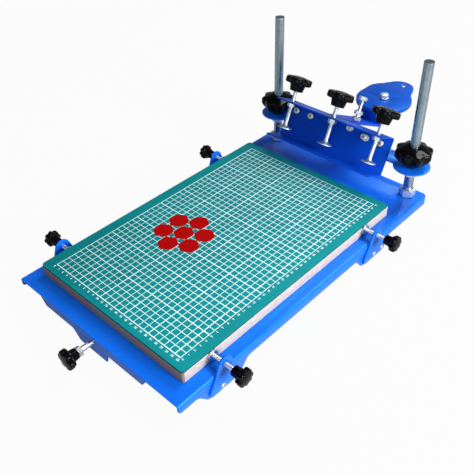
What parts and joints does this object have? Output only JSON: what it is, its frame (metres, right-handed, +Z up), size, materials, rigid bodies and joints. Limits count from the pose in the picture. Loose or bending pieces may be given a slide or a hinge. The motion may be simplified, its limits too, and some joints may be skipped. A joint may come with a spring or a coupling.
{
  "type": "screen printing machine",
  "caption": "Tabletop screen printing press: board with cutting mat on a folded steel base, hinged screen clamp on a height-adjustable beam, counterweight behind.",
  "frame": {"origin": "on the floor, under the middle of the machine's outline in plan", "axes": "+Z up, +X to the right of a person at the front, -Y towards that person, so the posts, the clamp and the counterweight are at +Y"},
  "size_m": [0.41, 0.8134, 0.268],
  "materials": {
    "deck_enamel": "gloss",
    "clamp_enamel": "gloss",
    "weight_enamel": "gloss",
    "mat_vinyl": "matt",
    "board_wood": "bare",
    "knob_plastic": "gloss",
    "post_steel": "satin",
    "zinc": "bright",
    "yellow_zinc": "satin"
  },
  "bodies": {
    "base": {"base_deck": "deck_enamel", "platen_board": "board_wood", "cutting_mat": "mat_vinyl", "side_bracket_front_left": "deck_enamel", "side_bracket_front_right": "deck_enamel", "side_bracket_rear_left": "deck_enamel", "side_bracket_rear_right": "deck_enamel", "post_left": "post_steel", "post_right": "post_steel", "post_nut_left": "zinc", "post_nut_right": "zinc"},
    "beam_carriage": {"beam": "clamp_enamel", "beam_nut_left": "zinc", "beam_nut_right": "zinc", "post_knob_left": "knob_plastic", "post_knob_right": "knob_plastic", "hinge_leaf_beam_left": "zinc", "hinge_leaf_beam_right": "zinc"},
    "screen_clamp": {"clamp_channel": "clamp_enamel", "hinge_leaf_clamp_left": "zinc", "hinge_leaf_clamp_right": "zinc", "weld_nut_left": "yellow_zinc", "weld_nut_middle": "yellow_zinc", "weld_nut_right": "yellow_zinc", "counterweight_arm": "clamp_enamel", "stop_bolt": "zinc", "counterweight": "weight_enamel", "counterweight_bolt": "zinc"},
    "clamp_screw_set_left": {"clamp_screw_left": "zinc", "clamp_knob_left": "knob_plastic"},
    "clamp_screw_set_middle": {"clamp_screw_middle": "zinc", "clamp_knob_middle": "knob_plastic"},
    "clamp_screw_set_right": {"clamp_screw_right": "zinc", "clamp_knob_right": "knob_plastic"},
    "side_screw_set_front_left": {"side_screw_front_left": "zinc", "side_knob_front_left": "knob_plastic"},
    "side_screw_set_front_right": {"side_screw_front_right": "zinc", "side_knob_front_right": "knob_plastic"},
    "side_screw_set_rear_left": {"side_screw_rear_left": "zinc", "side_knob_rear_left": "knob_plastic"},
    "side_screw_set_rear_right": {"side_screw_rear_right": "zinc", "side_knob_rear_right": "knob_plastic"},
    "front_screw_set": {"front_screw": "zinc", "front_locknut": "zinc", "front_knob": "knob_plastic"}
  },
  "joints": [
    {"name": "beam_height", "type": "slide", "parent": "base", "child": "beam_carriage", "axis": [0, 0, 1], "range_m": [-0.015, 0.14]},
    {"name": "clamp_hinge", "type": "hinge", "parent": "beam_carriage", "child": "screen_clamp", "pos_m": [-0.0035, 0.17825, 0.0971], "axis": [-1, 0, 0], "range_deg": [-25.8, 0]},
    {"name": "clamp_screw_left", "type": "slide", "parent": "screen_clamp", "child": "clamp_screw_set_left", "axis": [0, 0.4352, 0.9003], "range_m": [-0.01, 0.02]},
    {"name": "clamp_screw_middle", "type": "slide", "parent": "screen_clamp", "child": "clamp_screw_set_middle", "axis": [0, 0.4352, 0.9003], "range_m": [-0.01, 0.02]},
    {"name": "clamp_screw_right", "type": "slide", "parent": "screen_clamp", "child": "clamp_screw_set_right", "axis": [0, 0.4352, 0.9003], "range_m": [-0.01, 0.02]},
    {"name": "side_screw_front_left", "type": "slide", "parent": "base", "child": "side_screw_set_front_left", "axis": [-1, 0, 0], "range_m": [0, 0.008]},
    {"name": "side_screw_front_right", "type": "slide", "parent": "base", "child": "side_screw_set_front_right", "axis": [1, 0, 0], "range_m": [0, 0.008]},
    {"name": "side_screw_rear_left", "type": "slide", "parent": "base", "child": "side_screw_set_rear_left", "axis": [-1, 0, 0], "range_m": [0, 0.008]},
    {"name": "side_screw_rear_right", "type": "slide", "parent": "base", "child": "side_screw_set_rear_right", "axis": [1, 0, 0], "range_m": [0, 0.008]},
    {"name": "front_screw", "type": "slide", "parent": "base", "child": "front_screw_set", "axis": [0, -1, 0], "range_m": [-0.005, 0.01]}
  ]
}
